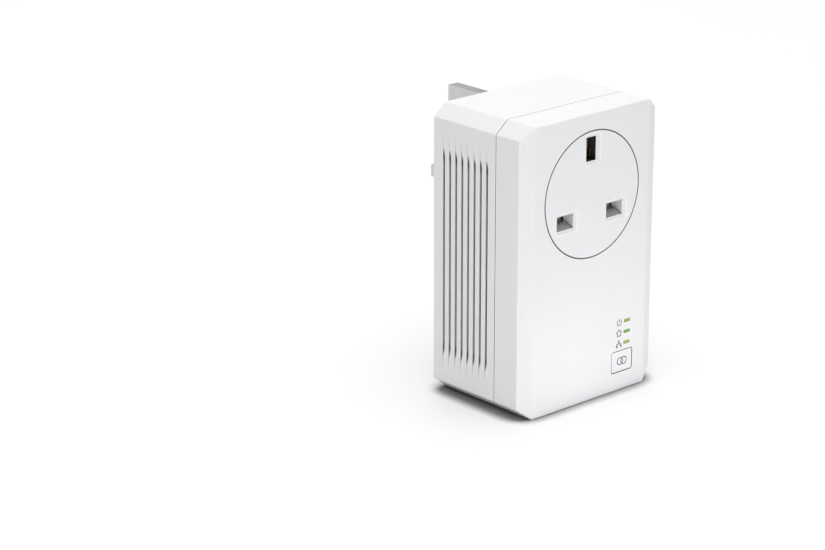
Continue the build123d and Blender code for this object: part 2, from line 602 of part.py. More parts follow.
def busbar(x, half, start, heights):
    """Brass strap from a socket contact, back to the root of its plug pin."""
    socket_z, run_z, plug_z = heights
    with BuildPart() as strap:
        block(around(x, half), (start, start + BUS_SHEET), (socket_z, run_z + BUS_SHEET))
        block(around(x, half), (start, PIN_ROOT), (run_z, run_z + BUS_SHEET))
        block(around(x, half), (PIN_ROOT - BUS_SHEET, PIN_ROOT), (run_z, plug_z))
    return strap


for bus_x, bus_name in ((PIN_HALF_SPREAD, "live_busbar"), (-PIN_HALF_SPREAD, "neutral_busbar")):
    save(busbar(bus_x, LINE_BUS_HALF, LINE_CONTACT_BACK, LINE_BUS_HEIGHTS), bus_name)
save(busbar(0, EARTH_BUS_HALF, EARTH_CONTACT_BACK, EARTH_BUS_HEIGHTS), "earth_busbar")

# ======== boards ========


def board(half_w, y, z, boss_radius):
    """Board with its lower corners cut and holes about the lower screw bosses."""
    with BuildPart() as panel:
        block(around(0, half_w), y, z)
        chamfer(panel.edges().filter_by(Axis.Y).group_by(Axis.Z)[0], BOARD_CORNER)
        for x in (-SCREW_X, SCREW_X):
            through = (y[0] - CUT, y[1] + CUT)
            rod(x, SCREW_ROWS[0], through, boss_radius + BOSS_CLEARANCE, Mode.SUBTRACT)
    return panel


main_z, power_z = (MAIN_LOW, MAIN_HIGH), (POWER_LOW, POWER_HIGH)
save(board(MAIN_HALF_W, (MAIN_FRONT, MAIN_BACK), main_z, BOSS_RADIUS), "main_board")
save(board(POWER_HALF_W, (POWER_FRONT, POWER_BACK), power_z, REAR_BOSS_RADIUS), "power_board")

with BuildPart() as insulating_sheet:
    sheet_y = (SHEET_FRONT, SHEET_FRONT + SHEET_THICKNESS)
    block(around(0, SHEET_HALF_W), sheet_y, (SHEET_LOW, SHEET_HIGH))
    window_z = (SHEET_LOW - CUT, LINK_WINDOW_HIGH)
    block(around(LINK_X, LINK_WINDOW_HALF), around(SHEET_FRONT, CUT), window_z, Mode.SUBTRACT)
save(insulating_sheet, "insulating_sheet")

with BuildPart() as link_header:
    header_y = (MAIN_BACK, MAIN_BACK + LINK_HEIGHT)
    block(around(LINK_X, LINK_HALF_W), header_y, (LINK_ROWS[0] - LINK_ENDS, LINK_ROWS[-1] + LINK_ENDS))
    for z in LINK_ROWS:
        bore_y = (header_y[0] - CUT, header_y[1] + CUT)
        block(around(LINK_X, LINK_BORE_HALF), bore_y, around(z, LINK_BORE_HALF), Mode.SUBTRACT)
save(link_header, "link_header")

with BuildPart() as link_pins:
    for z in LINK_ROWS:
        pin_y = (MAIN_BACK + LINK_STAND_OFF, POWER_FRONT)
        block(around(LINK_X, LINK_PIN_HALF), pin_y, around(z, LINK_PIN_HALF))
save(link_pins, "link_pins")

# ======== network jack ========

with BuildPart() as jack_housing:
    block(around(0, JACK_HALF_W), (JACK_FRONT, JACK_BACK), (JACK_LOW, JACK_HIGH))
    port_z = (JACK_LOW - CUT, JACK_LOW + PORT_DEPTH)
    for x in (-PORT_X, PORT_X):
        block(around(x, PORT_W / 2), (PORT_FRONT, PORT_SHOULDER), port_z, Mode.SUBTRACT)
        block(around(x, PORT_STEP_W / 2), (PORT_SHOULDER - CUT, PORT_STEP), port_z, Mode.SUBTRACT)
        block(around(x, PORT_LATCH_W / 2), (PORT_STEP - CUT, PORT_LATCH), port_z, Mode.SUBTRACT)
    # shallow rebate along the front edge of the face
    rebate_z = (JACK_LOW - CUT, JACK_LOW + REBATE_DEPTH)
    rebate_y = (JACK_FRONT, JACK_FRONT + REBATE_WIDTH)
    block(around(0, JACK_HALF_W), rebate_y, rebate_z, Mode.SUBTRACT)
save(jack_housing, "jack_housing")

# each contact runs down the front wall and turns back up into the port
with BuildPart() as jack_contacts:
    half = WIRE_SIZE / 2
    for port in (-PORT_X, PORT_X):
        for i in range(WIRE_COUNT):
            x = port + (i - (WIRE_COUNT - 1) / 2) * WIRE_PITCH
            with BuildSketch(Plane.YZ.offset(x - half)):
                Polygon(
                    (WIRE_ROOT - half, WIRE_TOP),
                    (WIRE_ROOT - half, WIRE_BEND + 3 * half),
                    (WIRE_ROOT + 2 * half, WIRE_BEND),
                    (WIRE_FREE + half, WIRE_TIP),
                    (WIRE_FREE - half, WIRE_TIP + half),
                    (WIRE_ROOT + 1.5 * half, WIRE_BEND + 5.5 * half),
                    (WIRE_ROOT + half, WIRE_BEND + 6.5 * half),
                    (WIRE_ROOT + half, WIRE_TOP),
                    align=None,
                )
            extrude(amount=WIRE_SIZE)
save(jack_contacts, "jack_contacts")

# ======== chips and parts on the main board ========


def chip(place, size, face=MAIN_BACK, towards=1):
    """Flat moulded package on a board face, standing towards +Y or -Y."""
    x, z = place
    width, height, thickness = size
    y = sorted((face, face + towards * thickness))
    with BuildPart() as package:
        block(around(x, width / 2), y, around(z, height / 2))
        top = package.faces().sort_by(Axis.Y)[-1 if towards > 0 else 0]
        chamfer(top.edges(), min(CHIP_EDGE, thickness / 4))
    return package


save(chip((0, CHIP_Z), (12, 12, CHIP_THICKNESS)), "powerline_chip")
save(chip((-20, 30), (8, 14, 5.5)), "magnetics_left")
save(chip((20, 30), (8, 14, 5.5)), "magnetics_right")
save(chip((-20, 43), (9, 8, 6)), "coupling_transformer")
save(chip((-13, 24), (9, 9, 0.9), MAIN_FRONT, -1), "ethernet_chip")
save(chip((-14, 38), (5, 3.2, 1.2), MAIN_FRONT, -1), "clock_crystal")
save(chip((4, 33), (8, 12, 1), MAIN_FRONT, -1), "memory_chip")
save(chip((-2, 15), (6, 5, 1.6), MAIN_FRONT, -1), "flash_chip")

with BuildPart() as thermal_pad:
    block(around(0, PAD_HALF), (PAD_FRONT, SINK_FRONT), around(CHIP_Z, PAD_HALF))
save(thermal_pad, "thermal_pad")

with BuildPart() as chip_heatsink:
    sink_z = around(CHIP_Z, SINK_HALF_H)
    block(around(0, SINK_HALF_W), (SINK_FRONT, SINK_FRONT + SINK_BASE), sink_z)
    for i in range(FIN_COUNT):
        fin_x = (i - (FIN_COUNT - 1) / 2) * FIN_PITCH
        block(around(fin_x, FIN_HALF), (SINK_FRONT, SINK_FRONT + SINK_HEIGHT), sink_z)
save(chip_heatsink, "chip_heatsink")

# ======== parts on the power board ========

with BuildPart() as transformer_core:
    core_z = around(CORE_Z, CORE_HALF_H)
    window_y = (CORE_Y[0] + CORE_YOKE, CORE_Y[1] - CORE_YOKE)
    block(around(0, CORE_HALF_W), CORE_Y, core_z)
    block((-CORE_WINDOW, -CORE_LIMB), window_y, core_z, Mode.SUBTRACT)
    block((CORE_LIMB, CORE_WINDOW), window_y, core_z, Mode.SUBTRACT)
save(transformer_core, "transformer_core")

with BuildPart() as transformer_winding:
    winding_y = (window_y[0] + WINDING_GAP, window_y[1] - WINDING_GAP)
    block(around(0, WINDING_HALF_W), winding_y, around(CORE_Z, WINDING_HALF_H))
    fillet(transformer_winding.edges().filter_by(Axis.Y), WINDING_CORNER)
    limb_z = around(CORE_Z, CORE_HALF_H + WINDING_GAP)
    block(around(0, CORE_LIMB + WINDING_GAP), winding_y, limb_z, Mode.SUBTRACT)
save(transformer_winding, "transformer_winding")

with BuildPart() as transformer_bobbin:
    foot_y = (POWER_FRONT - BOBBIN_FOOT, POWER_FRONT)
    block(around(0, BOBBIN_HALF_W), foot_y, around(CORE_Z, BOBBIN_HALF_H))
save(transformer_bobbin, "transformer_bobbin")

with BuildPart() as bulk_capacitor:
    with BuildSketch(Plane.XY.offset(BULK_LOW)):
        with Locations((BULK_X, POWER_FRONT - BULK_RADIUS - BULK_LIFT)):
            Circle(BULK_RADIUS)
    extrude(amount=BULK_LENGTH)
    fillet(bulk_capacitor.edges().filter_by(GeomType.CIRCLE), BULK_EDGE)
save(bulk_capacitor, "bulk_capacitor")

with BuildPart() as output_capacitors:
    for z in OUTPUT_ROWS:
        rod(OUTPUT_X, z, (POWER_FRONT - OUTPUT_HEIGHT, POWER_FRONT), OUTPUT_RADIUS)
save(output_capacitors, "output_capacitors")

with BuildPart() as suppression_capacitor:
    block(around(0, BOX_HALF_W), (POWER_FRONT - BOX_HEIGHT, POWER_FRONT), (BOX_LOW, BOX_HIGH))
    fillet(suppression_capacitor.edges().filter_by(Axis.Y), BOX_CORNER)
save(suppression_capacitor, "suppression_capacitor")

with BuildPart() as mains_fuse:
    rod(FUSE_X, FUSE_Z, (POWER_FRONT - FUSE_HEIGHT, POWER_FRONT), FUSE_RADIUS)
save(mains_fuse, "mains_fuse")


def disc(x, stand_off, z, radius, thickness):
    """Dipped disc component standing on edge on the power board."""
    with BuildPart() as body:
        with BuildSketch(Plane.YZ.offset(x - thickness / 2)):
            with Locations((POWER_FRONT - stand_off, z)):
                Circle(radius)
        extrude(amount=thickness)
        fillet(body.edges().filter_by(GeomType.CIRCLE), thickness / 2.5)
    return body


save(disc(1, 5.6, 9, 5, 4), "surge_varistor")
save(disc(8.5, 4.8, 9, 4.2, 3), "safety_capacitor")
save(chip((-9, 18.8), (8.5, 6.5, 3.3), POWER_FRONT, -1), "bridge_rectifier")
save(chip((2.5, 18.8), (9.2, 6.4, 3.3), POWER_FRONT, -1), "power_controller")
save(chip((11.5, 19), (4.6, 6.5, 3.5), POWER_FRONT, -1), "optocoupler")

with BuildPart() as choke_cores:
    for x in (-CHOKE_X, CHOKE_X):
        rod(x, CHOKE_Z, around(CHOKE_Y, CHOKE_HALF), CHOKE_OUTER)
        rod(x, CHOKE_Z, around(CHOKE_Y, CHOKE_HALF + CUT), CHOKE_INNER, Mode.SUBTRACT)
save(choke_cores, "choke_cores")

with BuildPart() as choke_windings:
    middle = (CHOKE_OUTER + CHOKE_INNER) / 2
    reach = (CHOKE_OUTER - CHOKE_INNER) / 2
    outer_loop = (2 * (reach + 2 * CHOKE_WIRE), 2 * (CHOKE_HALF + 2 * CHOKE_WIRE))
    inner_loop = (2 * (reach + WIRE_GAP), 2 * (CHOKE_HALF + WIRE_GAP))
    for x in (-CHOKE_X, CHOKE_X):
        for turn in range(CHOKE_TURNS):
            angle = radians(CHOKE_START + turn * CHOKE_SWEEP / (CHOKE_TURNS - 1))
            centre = (x + middle * cos(angle), CHOKE_Y, CHOKE_Z + middle * sin(angle))
            along = (cos(angle), 0, sin(angle))
            across = (-sin(angle), 0, cos(angle))
            with BuildSketch(Plane(origin=centre, x_dir=along, z_dir=across)):
                RectangleRounded(*outer_loop, CHOKE_WIRE_CORNER)
                Rectangle(*inner_loop, mode=Mode.SUBTRACT)
            extrude(amount=CHOKE_WIRE, both=True)
save(choke_windings, "choke_windings")
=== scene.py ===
from math import cos, pi, radians, sin

import bmesh
import bpy
from mathutils import Matrix, Vector


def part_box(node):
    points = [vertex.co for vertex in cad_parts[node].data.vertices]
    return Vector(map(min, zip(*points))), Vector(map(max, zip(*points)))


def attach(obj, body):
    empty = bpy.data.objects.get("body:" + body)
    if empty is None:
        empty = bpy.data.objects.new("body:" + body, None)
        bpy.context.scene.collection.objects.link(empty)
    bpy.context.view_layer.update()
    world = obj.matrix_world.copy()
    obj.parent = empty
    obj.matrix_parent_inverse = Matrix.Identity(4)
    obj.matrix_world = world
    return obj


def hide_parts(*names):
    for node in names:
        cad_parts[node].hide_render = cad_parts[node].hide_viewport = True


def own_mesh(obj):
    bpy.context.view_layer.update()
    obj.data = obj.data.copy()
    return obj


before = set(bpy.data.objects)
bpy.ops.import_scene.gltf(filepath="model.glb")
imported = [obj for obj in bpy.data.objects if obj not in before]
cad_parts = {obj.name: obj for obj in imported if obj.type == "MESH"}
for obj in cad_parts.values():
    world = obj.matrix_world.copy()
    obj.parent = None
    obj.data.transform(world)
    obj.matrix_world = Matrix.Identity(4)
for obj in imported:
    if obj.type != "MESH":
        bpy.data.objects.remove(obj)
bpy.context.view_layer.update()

# Powerline adapter with a pass-through socket. Metres, Z up, -Y towards the front.

MM = 0.001

# ---- where things are ----
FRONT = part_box("front_cover")[0].y
LED_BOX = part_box("status_leds")
LED_HALF = 0.6 * MM  # half a light's height
LED_X = (LED_BOX[0].x + LED_BOX[1].x) / 2
LED_TOP = LED_BOX[1].z - LED_HALF
LED_LOW = LED_BOX[0].z + LED_HALF
LED_ROWS = [LED_TOP, (LED_TOP + LED_LOW) / 2, LED_LOW]
ICON_X = LED_X - 3.6 * MM
RING_CENTRE = (0.0, 70.6 * MM)
RING_RADIUS = 21.07 * MM
RING_WIDTH = 0.51 * MM
RING_STEPS = 240
RING_TOP = 0.05 * MM
RING_BOTTOM = 0.24 * MM
PRINT_TOP = -0.02 * MM  # the ink stands this far out of the face
PRINT_BOTTOM = 0.06 * MM

# ---- printed lines and the shutter's spring ----
MITRE_LIMIT = 0.4  # keeps a sharp corner of a line from growing a long point
ICON_LINE = 0.30 * MM
ICON_UNIT = 1.18 * MM  # the icons' drawings are in these units
MARK_SPREAD = 0.85 * MM
MARK_RADIUS = 1.25 * MM
MARK_LINE = 0.34 * MM
MARK_STEPS = 48
WIRE_RADIUS = 0.2 * MM
COIL_OPEN_TURNS = 7
COIL_SIDES = 10
COIL_STEPS = 36
COIL_CLOSED_RISE = 2.3 * WIRE_RADIUS

# ---- print and surface ----
PRINT_DARK = (0.115, 0.118, 0.122)
PRINT_PALE = (0.155, 0.158, 0.162)
WHITE = (0.84, 0.845, 0.86)
BLACK = (0.016, 0.016, 0.018)
CREVICE_SHADE_DARKEST = 0.12  # how dark the painted shade makes the most shut-in surface
SHUT_IN, OPEN = 0.3, 0.8  # share of open sky there, and where the painted shade ends
# painted highlights on rounded edges: their reach and the turn of surface they cover
EDGE_REACH = 0.7 * MM
EDGE_TURNED, EDGE_FLAT = 0.965, 0.998  # how nearly a surface faces as its rounding does
FOOT_LOW, FOOT_HIGH = 2 * MM, 4 * MM  # heights between which the painted shade sets in
CREVICE_SAMPLES = 16
EDGE_SAMPLES = 8
CLOUD_SIZE = 40 * MM  # slow drift of a moulding's colour
GLOSS_SIZE = 12 * MM  # patches of uneven gloss
GRAIN_SIZE, GRAIN_DEPTH = 0.14 * MM, 0.003 * MM  # spark-eroded mould finish
PEEL_SIZE = 9 * MM  # ripples in a dipped or shrunk skin
TARNISH_SIZE, TARNISH_MOST = 4 * MM, 0.5
STREAK_SIZE, STREAK_DEPTH = 0.09 * MM, 0.002 * MM
DRAWN = (1, 0.04, 1)  # streaks run along Y
TRACK_TILE = 14 * MM
PAD_PITCH, PAD_RIM = 2.6 * MM, (0.12, 0.16)  # rim as a share of the pitch
MASK_RELIEF, PAD_RELIEF = 0.03 * MM, 0.05 * MM
DUST_SIZE = 2 * MM
INK_SPECK, INK_DEPTH = 0.35 * MM, 0.003 * MM
WINDOW_SCATTER = (0.6 * MM, 1.0 * MM, 0.3 * MM)  # how far red, green and blue travel inside
WINDOW_CLOUD = 1.1 * MM
WINDOW_GRAIN, WINDOW_DEPTH = 0.25 * MM, 0.006 * MM
SCUFF_SIZE, SCUFF_RUN = 1.2 * MM, (0.2, 1, 1)
FILM_WAVE, FILM_DEPTH = 8 * MM, 0.05 * MM
WEAR_SIZE = 1.5 * MM
WAVE_BANDS = 3.15  # bands in a metre that the wave texture draws at a scale of 1

# ---- camera ----
CAMERA_PLACE = Vector((-0.57077, -0.58937, 0.31777))
CAMERA_RIGHT = Vector((0.747057, -0.664757, -0.001868))
CAMERA_UP = Vector((0.218135, 0.242485, 0.945314))
CAMERA_LENS = 114.09
SENSOR = 36.0

# ---- studio ----
FLOOR_HALF = 4.0
FLOOR_CLOUD = 0.4
# painted contact shadow on the floor: its reach, where it is darkest and ends, and its grey
CONTACT_SHADOW_REACH = 7 * MM
CREASE_SHUT, CREASE_OPEN = 0.5, 0.85  # share of open sky where the painted contact shadow is darkest, and where it ends
CONTACT_SHADOW_GREY = (0.25, 0.25, 0.255)
SKY = 0.06
# each light: name, place, the point it faces, size, power in watts
LIGHTS = (
    ("top_box", (0.0, 0.2, 1.5), (0, 0.2, 0), (3.0, 3.0), 49.0),
    ("upper_box", (-0.05, -0.45, 0.65), (0, -0.03, 0.04), (0.60, 0.40), 0.62),
    ("left_box", (-0.35, -0.30, 0.50), (0, -0.03, 0.04), (0.40, 0.40), 0.12),
    ("back_box", (0.75, 0.95, 0.55), (0, 0, 0.05), (1.30, 0.80), 1.8),
    ("low_box", (-0.16, -0.30, 0.02), (0, -0.03, 0.03), (0.20, 0.10), 0.24),
    ("floor_box", (0.0, -0.085, 0.008), (0.014, -0.033, 0.010), (0.06, 0.010), 0.0058),
)


# ======== material building blocks ========


def link(tree, source, target):
    tree.links.new(source, target)


def add_node(tree, kind, **inputs):
    """New node with some of its inputs set by name."""
    made = tree.nodes.new(kind)
    for name, value in inputs.items():
        made.inputs[name.replace("_", " ")].default_value = value
    return made


def colour4(colour):
    return (*colour, 1.0)


def surface_position(tree, stretch=(1, 1, 1)):
    """Object coordinates in metres, optionally compressed along some axes."""
    place = tree.nodes.new("ShaderNodeTexCoord")
    mapping = tree.nodes.new("ShaderNodeMapping")
    mapping.inputs["Scale"].default_value = stretch
    link(tree, place.outputs["Object"], mapping.inputs["Vector"])
    return mapping.outputs["Vector"]


def noise(tree, position, size, detail=3.0, rough=0.55):
    """Noise whose features are about size metres across."""
    made = add_node(tree, "ShaderNodeTexNoise", Scale=1 / size, Detail=detail, Roughness=rough)
    link(tree, position, made.inputs["Vector"])
    return made.outputs["Fac"]


def spread(tree, value, low, high, start=0.3, end=0.7):
    """Noise value mapped onto a low to high range."""
    made = add_node(
        tree, "ShaderNodeMapRange", From_Min=start, From_Max=end, To_Min=low, To_Max=high
    )
    link(tree, value, made.inputs["Value"])
    return made.outputs["Result"]


def blend_colours(tree, factor, first, second):
    made = tree.nodes.new("ShaderNodeMix")
    made.data_type = "RGBA"
    link(tree, factor, made.inputs[0])
    for socket, colour in ((made.inputs[6], first), (made.inputs[7], second)):
        if isinstance(colour, tuple):
            socket.default_value = colour4(colour)
        else:
            link(tree, colour, socket)
    return made.outputs[2]


def relief(tree, shader, layers):
    """Bump layers of (height, depth in metres), stacked onto the shader's normal."""
    normal = None
    for height, depth in layers:
        bump = add_node(tree, "ShaderNodeBump", Distance=depth, Strength=1.0)
        link(tree, height, bump.inputs["Height"])
        if normal is not None:
            link(tree, normal, bump.inputs["Normal"])
        normal = bump.outputs["Normal"]
    link(tree, normal, shader.inputs["Normal"])


def start_material(name, **sockets):
    material = bpy.data.materials.new(name)
    material.use_nodes = True
    tree = material.node_tree
    shader = tree.nodes["Principled BSDF"]
    for socket, value in sockets.items():
        shader.inputs[socket.replace("_", " ")].default_value = value
    return material, tree, shader


def painted_crevice_shade(tree, colour, reach):
    """Painted shade: colour darkened where the surface is closely shut in, as in a slot or a
    joint.

    The foot of the case is left out, so that its lower edges stay bright above the floor.
    """
    opening = add_node(tree, "ShaderNodeAmbientOcclusion", Distance=reach)
    opening.samples = CREVICE_SAMPLES
    place = tree.nodes.new("ShaderNodeSeparateXYZ")
    link(tree, surface_position(tree), place.inputs["Vector"])
    foot = spread(tree, place.outputs["Z"], 1, 0, FOOT_LOW, FOOT_HIGH)
    open_or_foot = tree.nodes.new("ShaderNodeMath")
    open_or_foot.operation = "MAXIMUM"
    link(tree, opening.outputs["AO"], open_or_foot.inputs[0])
    link(tree, foot, open_or_foot.inputs[1])
    shut_in = spread(tree, open_or_foot.outputs["Value"], CREVICE_SHADE_DARKEST, 1, SHUT_IN, OPEN)
    grey = tree.nodes.new("ShaderNodeVectorMath")
    grey.operation = "SCALE"
    link(tree, colour, grey.inputs[0])
    link(tree, shut_in, grey.inputs["Scale"])
    return grey.outputs["Vector"]


def painted_edge_highlights(tree, colour, edge_highlight):
    """Painted highlight: colour blended towards a paler one along rounded edges."""
    rounded = add_node(tree, "ShaderNodeBevel", Radius=EDGE_REACH)
    rounded.samples = EDGE_SAMPLES
    surface = tree.nodes.new("ShaderNodeNewGeometry")
    match = tree.nodes.new("ShaderNodeVectorMath")
    match.operation = "DOT_PRODUCT"
    link(tree, rounded.outputs["Normal"], match.inputs[0])
    link(tree, surface.outputs["Normal"], match.inputs[1])
    turned = spread(tree, match.outputs["Value"], 1, 0, EDGE_TURNED, EDGE_FLAT)
    return blend_colours(tree, turned, colour, edge_highlight)


def moulded(
    name,
    colour,
    drift,
    gloss,
    grain=GRAIN_SIZE,
    depth=GRAIN_DEPTH,
    peel=0.0,
    painted_shade_reach=0.0,
    edge_highlight=None,
    **sockets,
):
    """Moulded plastic: slow colour drift, spark-eroded grain and slightly uneven gloss, optionally
    with painted highlights on rounded edges and painted shade in crevices.
    """
    material, tree, shader = start_material(name, **sockets)
    place = surface_position(tree)
    cloud = noise(tree, place, CLOUD_SIZE, 2.0)
    shade = blend_colours(tree, spread(tree, cloud, 0, 1), colour, drift)
    # painted highlights along rounded edges
    if edge_highlight is not None:
        shade = painted_edge_highlights(tree, shade, edge_highlight)
    # painted shade in slots, joints and the seam
    if painted_shade_reach:
        shade = painted_crevice_shade(tree, shade, painted_shade_reach)
    link(tree, shade, shader.inputs["Base Color"])
    fine = noise(tree, place, grain, 2.0)
    sheen = spread(tree, noise(tree, place, GLOSS_SIZE), *gloss)
    link(tree, sheen, shader.inputs["Roughness"])
    layers = [(fine, depth)]
    if peel:
        layers.append((noise(tree, place, PEEL_SIZE, 1.0), peel))
    relief(tree, shader, layers)
    return material


def metal(name, colour, tarnish, gloss, brushing=DRAWN):
    """Bare metal with drawn or brushed streaks and faint tarnish."""
    material, tree, shader = start_material(name, Metallic=1.0)
    place = surface_position(tree)
    spots = noise(tree, place, TARNISH_SIZE, 4.0)
    patches = spread(tree, spots, 0, TARNISH_MOST, 0.42, 0.75)
    shade = blend_colours(tree, patches, colour, tarnish)
    link(tree, shade, shader.inputs["Base Color"])
    streaks = noise(tree, surface_position(tree, brushing), STREAK_SIZE)
    link(tree, spread(tree, streaks, *gloss), shader.inputs["Roughness"])
    relief(tree, shader, [(streaks, STREAK_DEPTH)])
    return material


def banded(name, colour, groove, axis, pitch, gloss, depth, **sockets):
    """Wound wire or wrapped tape: bands across one axis, with painted shade in the darker grooves
    between the bands.
    """
    material, tree, shader = start_material(name, **sockets)
    place = surface_position(tree)
    wave = add_node(
        tree, "ShaderNodeTexWave", Scale=1 / (WAVE_BANDS * pitch), Distortion=0.6, Detail=2.0
    )
    wave.bands_direction = axis
    link(tree, place, wave.inputs["Vector"])
    band = spread(tree, wave.outputs["Fac"], 0, 1, 0.05, 0.5)
    wear = noise(tree, place, WEAR_SIZE, 4.0)
    # the darker groove colour is painted shade between the bands
    link(tree, blend_colours(tree, band, groove, colour), shader.inputs["Base Color"])
    link(tree, spread(tree, wear, *gloss), shader.inputs["Roughness"])
    relief(tree, shader, [(wave.outputs["Fac"], depth), (wear, depth / 4)])
    return material


# ======== materials ========


def circuit_board():
    """Green solder mask over copper tracks, with tinned pads."""
    material, tree, shader = start_material("circuit_board", Coat_Weight=0.3)
    place = surface_position(tree)
    turned = tree.nodes.new("ShaderNodeMapping")
    turned.inputs["Rotation"].default_value = (pi / 2, 0, 0)
    link(tree, place, turned.inputs["Vector"])
    tracks = add_node(
        tree,
        "ShaderNodeTexBrick",
        Scale=1 / TRACK_TILE,
        Mortar_Size=0.02,
        Mortar_Smooth=0.2,
        Brick_Width=0.42,
        Row_Height=0.12,
    )
    link(tree, turned.outputs["Vector"], tracks.inputs["Vector"])
    pads = add_node(tree, "ShaderNodeTexVoronoi", Scale=1 / PAD_PITCH, Randomness=0.35)
    link(tree, place, pads.inputs["Vector"])
    pad_mask = spread(tree, pads.outputs["Distance"], 1, 0, *PAD_RIM)
    mask = (0.010, 0.105, 0.045)
    track = (0.022, 0.190, 0.075)
    tinned = (0.62, 0.62, 0.60)
    green = blend_colours(tree, tracks.outputs["Fac"], mask, track)
    link(tree, blend_colours(tree, pad_mask, green, tinned), shader.inputs["Base Color"])
    dust = noise(tree, place, DUST_SIZE, 5.0)
    link(tree, spread(tree, dust, 0.28, 0.5), shader.inputs["Roughness"])
    relief(tree, shader, [(tracks.outputs["Fac"], MASK_RELIEF), (pad_mask, PAD_RELIEF)])
    return material


def light_window():
    """Yellow-green diffusing window, lit softly from behind."""
    material, tree, shader = start_material(
        "light_window", Subsurface_Weight=0.2, Emission_Strength=0.05, IOR=1.49
    )
    shader.inputs["Subsurface Radius"].default_value = WINDOW_SCATTER
    place = surface_position(tree)
    cloud = noise(tree, place, WINDOW_CLOUD)
    clouds = spread(tree, cloud, 0, 1, 0.35, 0.65)
    olive = blend_colours(tree, clouds, (0.36, 0.44, 0.060), (0.22, 0.31, 0.035))
    green = blend_colours(tree, clouds, (0.19, 0.42, 0.070), (0.12, 0.32, 0.050))
    height = tree.nodes.new("ShaderNodeSeparateXYZ")
    link(tree, place, height.inputs["Vector"])
    from_middle = tree.nodes.new("ShaderNodeMath")
    from_middle.operation = "COMPARE"
    link(tree, height.outputs["Z"], from_middle.inputs[0])
    from_middle.inputs[1].default_value = LED_ROWS[1]
    from_middle.inputs[2].default_value = (LED_ROWS[0] - LED_ROWS[1]) / 2
    shade = blend_colours(tree, from_middle.outputs["Value"], olive, green)
    link(tree, shade, shader.inputs["Base Color"])
    link(tree, shade, shader.inputs["Emission Color"])
    link(tree, spread(tree, cloud, 0.22, 0.38), shader.inputs["Roughness"])
    relief(tree, shader, [(noise(tree, place, WINDOW_GRAIN), WINDOW_DEPTH)])
    return material


def printed_ink():
    """Pad-printed grey ink, a little uneven where it took on the plastic."""
    material, tree, shader = start_material("printed_ink")
    place = surface_position(tree)
    cover = noise(tree, place, INK_SPECK, 4.0)
    shade = blend_colours(tree, spread(tree, cover, 0, 1), PRINT_DARK, PRINT_PALE)
    link(tree, shade, shader.inputs["Base Color"])
    link(tree, spread(tree, cover, 0.45, 0.62), shader.inputs["Roughness"])
    relief(tree, shader, [(cover, INK_DEPTH)])
    return material


def clear_film():
    """Thin insulating film, milky and scuffed."""
    material, tree, shader = start_material("clear_film", Transmission_Weight=0.75, IOR=1.5)
    place = surface_position(tree)
    scuff = noise(tree, surface_position(tree, SCUFF_RUN), SCUFF_SIZE, 5.0)
    shade = blend_colours(tree, spread(tree, scuff, 0, 1), (0.80, 0.84, 0.86), (0.68, 0.72, 0.74))
    link(tree, shade, shader.inputs["Base Color"])
    link(tree, spread(tree, scuff, 0.2, 0.5), shader.inputs["Roughness"])
    relief(tree, shader, [(noise(tree, place, FILM_WAVE), FILM_DEPTH)])
    return material


# slot: name, colour, second colour, range of roughness
PLASTICS = {
    "shutter_grey": ("shutter_plastic", (0.38, 0.38, 0.39), (0.34, 0.34, 0.35), (0.3, 0.45)),
    "jack_grey": ("jack_plastic", (0.60, 0.61, 0.63), (0.55, 0.56, 0.58), (0.32, 0.45)),
    "insulator_dark": ("insulator_plastic", (0.06, 0.06, 0.065), BLACK, (0.4, 0.55)),
    "led_body": ("led_package", (0.80, 0.81, 0.70), (0.72, 0.74, 0.60), (0.3, 0.5)),
    "pad_grey": ("thermal_gum", (0.30, 0.32, 0.36), (0.26, 0.28, 0.31), (0.6, 0.8)),
    "box_yellow": ("capacitor_box", (0.74, 0.52, 0.07), (0.66, 0.45, 0.05), (0.3, 0.45)),
    "fuse_brown": ("fuse_body", (0.14, 0.06, 0.03), (0.18, 0.08, 0.045), (0.3, 0.45)),
}
METALS = {
    "pin_metal": ("plated_pin", (0.60, 0.60, 0.59), (0.46, 0.45, 0.43), (0.16, 0.30)),
    "brass": ("spring_brass", (0.78, 0.56, 0.22), (0.42, 0.30, 0.10), (0.22, 0.42)),
    "gold_wire": ("gold_contact", (0.90, 0.66, 0.26), (0.72, 0.50, 0.18), (0.12, 0.26)),
}


def case_materials():
    """White mouldings of the case and the button."""
    return {
        "case_white": moulded(
            "case_shell",
            WHITE,
            (0.835, 0.84, 0.853),
            (0.36, 0.40),
            # reach of the shell's painted crevice shade
            painted_shade_reach=1.6 * MM,
            # paler colour of the shell's painted edge highlights
            edge_highlight=(0.97, 0.975, 0.985),
            IOR=1.5,
            Specular_IOR_Level=0.3,
        ),
        # the button cap also gets painted crevice shade
        "button_white": moulded(
            "button_cap", (0.86, 0.865, 0.875), WHITE, (0.28, 0.33), painted_shade_reach=0.8 * MM
        ),
    }


